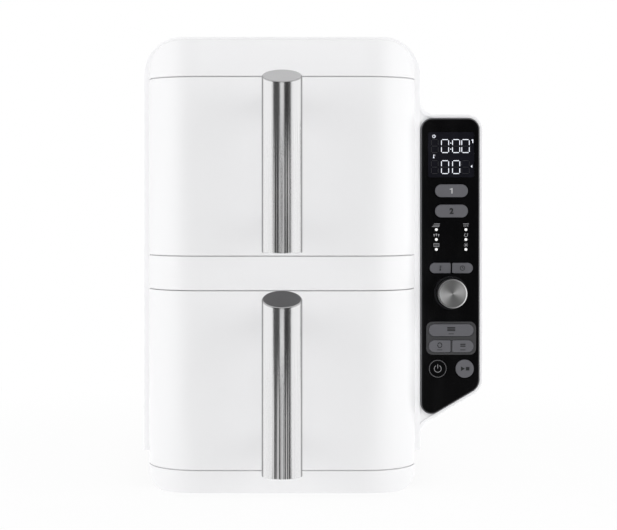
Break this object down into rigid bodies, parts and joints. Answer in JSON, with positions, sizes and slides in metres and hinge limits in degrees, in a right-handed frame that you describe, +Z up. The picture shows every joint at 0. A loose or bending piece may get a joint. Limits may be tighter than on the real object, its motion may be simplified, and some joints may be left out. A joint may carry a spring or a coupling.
{
  "type": "air fryer",
  "caption": "Upright stacked-drawer air fryer: white housing, bar handles, baskets with crisper plates and wire racks, rear fans, and a side control wing with display, keys and dial.",
  "frame": {"origin": "middle of the overall footprint, at the level of the worktop", "axes": "+Z up, -Y out of the front towards the user (the drawers slide out along -Y), +X to the side with the control wing"},
  "size_m": [0.2904, 0.47, 0.385],
  "materials": {
    "white_plastic": "satin white moulding",
    "black_gloss": "high gloss black",
    "display_black": "smoked display lens",
    "key_grey": "fine matt grey",
    "dark_plastic": "matt black moulding",
    "brushed_steel": "lengthwise brushed",
    "chamber_steel": "aluminised sheet",
    "nonstick": "non-stick coating",
    "wire_chrome": "bright plated wire",
    "rubber": "soft matt",
    "silicone": "silicone",
    "circuit_board": "solder mask",
    "motor_grey": "plated can",
    "element_steel": "dark oxidised tube",
    "light_guide": "clear white guide",
    "screw_steel": "plated"
  },
  "bodies": {
    "housing": {"outer_shell": "white_plastic", "front_frame": "white_plastic", "base_tray": "dark_plastic", "rubber_feet": "rubber", "rear_cover": "white_plastic", "cord_gland": "dark_plastic", "housing_screws": "screw_steel", "temperature_probes": "brushed_steel", "control_fascia": "black_gloss", "display_module": "display_black", "function_lights": "light_guide", "dial_encoder": "dark_plastic", "control_board": "circuit_board", "power_board": "circuit_board", "upper_cavity": "chamber_steel", "upper_fan_guard": "chamber_steel", "upper_heating_element": "element_steel", "upper_fan_motor": "motor_grey", "lower_cavity": "chamber_steel", "lower_fan_guard": "chamber_steel", "lower_heating_element": "element_steel", "lower_fan_motor": "motor_grey"},
    "upper_drawer": {"upper_drawer_front": "white_plastic", "upper_drawer_liner": "dark_plastic", "upper_drawer_seal": "silicone", "upper_basket": "nonstick", "upper_handle_sleeve": "brushed_steel", "upper_handle_cap": "brushed_steel", "upper_handle_core": "white_plastic", "upper_handle_screws": "screw_steel"},
    "upper_plate": {"upper_crisper_plate": "nonstick", "upper_plate_bumpers": "silicone"},
    "upper_wire_rack": {"upper_rack": "wire_chrome"},
    "upper_fan": {"upper_fan_impeller": "chamber_steel", "upper_fan_shaft": "brushed_steel", "upper_cooling_fan": "dark_plastic"},
    "lower_drawer": {"lower_drawer_front": "white_plastic", "lower_drawer_liner": "dark_plastic", "lower_drawer_seal": "silicone", "lower_basket": "nonstick", "lower_handle_sleeve": "brushed_steel", "lower_handle_cap": "brushed_steel", "lower_handle_core": "white_plastic", "lower_handle_screws": "screw_steel"},
    "lower_plate": {"lower_crisper_plate": "nonstick", "lower_plate_bumpers": "silicone"},
    "lower_wire_rack": {"lower_rack": "wire_chrome"},
    "lower_fan": {"lower_fan_impeller": "chamber_steel", "lower_fan_shaft": "brushed_steel", "lower_cooling_fan": "dark_plastic"},
    "selector": {"dial": "brushed_steel"},
    "zone_1_button": {"key_zone_1": "key_grey"},
    "zone_2_button": {"key_zone_2": "key_grey"},
    "temperature_button": {"key_temperature": "key_grey"},
    "time_button": {"key_time": "key_grey"},
    "stack_button": {"key_stack": "key_grey"},
    "sync_button": {"key_sync": "key_grey"},
    "match_button": {"key_match": "key_grey"},
    "power_button": {"key_power": "black_gloss"},
    "start_button": {"key_start": "key_grey"}
  },
  "joints": [
    {"name": "upper_drawer_slide", "type": "slide", "parent": "housing", "child": "upper_drawer", "axis": [0, -1, 0], "range_m": [0, 0.3]},
    {"name": "upper_plate_lift", "type": "slide", "parent": "upper_drawer", "child": "upper_plate", "axis": [0, 0, 1], "range_m": [0, 0.045]},
    {"name": "upper_rack_lift", "type": "slide", "parent": "upper_plate", "child": "upper_wire_rack", "axis": [0, 0, 1], "range_m": [0, 0.045]},
    {"name": "upper_fan_spin", "type": "hinge", "parent": "housing", "child": "upper_fan", "pos_m": [-0.02675, 0.188, 0.2735], "axis": [0, 1, 0], "continuous": true},
    {"name": "lower_drawer_slide", "type": "slide", "parent": "housing", "child": "lower_drawer", "axis": [0, -1, 0], "range_m": [0, 0.3]},
    {"name": "lower_plate_lift", "type": "slide", "parent": "lower_drawer", "child": "lower_plate", "axis": [0, 0, 1], "range_m": [0, 0.045]},
    {"name": "lower_rack_lift", "type": "slide", "parent": "lower_plate", "child": "lower_wire_rack", "axis": [0, 0, 1], "range_m": [0, 0.045]},
    {"name": "lower_fan_spin", "type": "hinge", "parent": "housing", "child": "lower_fan", "pos_m": [-0.02675, 0.188, 0.0977], "axis": [0, 1, 0], "continuous": true},
    {"name": "dial_turn", "type": "hinge", "parent": "housing", "child": "selector", "pos_m": [0.11735, -0.107, 0.1664], "axis": [0, -1, 0], "continuous": true},
    {"name": "zone_1_press", "type": "slide", "parent": "housing", "child": "zone_1_button", "axis": [0, 1, 0], "range_m": [0, 0.0006], "stiffness_N_per_m": 600},
    {"name": "zone_2_press", "type": "slide", "parent": "housing", "child": "zone_2_button", "axis": [0, 1, 0], "range_m": [0, 0.0006], "stiffness_N_per_m": 600},
    {"name": "temperature_press", "type": "slide", "parent": "housing", "child": "temperature_button", "axis": [0, 1, 0], "range_m": [0, 0.0006], "stiffness_N_per_m": 600},
    {"name": "time_press", "type": "slide", "parent": "housing", "child": "time_button", "axis": [0, 1, 0], "range_m": [0, 0.0006], "stiffness_N_per_m": 600},
    {"name": "stack_press", "type": "slide", "parent": "housing", "child": "stack_button", "axis": [0, 1, 0], "range_m": [0, 0.0006], "stiffness_N_per_m": 600},
    {"name": "sync_press", "type": "slide", "parent": "housing", "child": "sync_button", "axis": [0, 1, 0], "range_m": [0, 0.0006], "stiffness_N_per_m": 600},
    {"name": "match_press", "type": "slide", "parent": "housing", "child": "match_button", "axis": [0, 1, 0], "range_m": [0, 0.0006], "stiffness_N_per_m": 600},
    {"name": "power_press", "type": "slide", "parent": "housing", "child": "power_button", "axis": [0, 1, 0], "range_m": [0, 0.0006], "stiffness_N_per_m": 600},
    {"name": "start_press", "type": "slide", "parent": "housing", "child": "start_button", "axis": [0, 1, 0], "range_m": [0, 0.0006], "stiffness_N_per_m": 600}
  ]
}
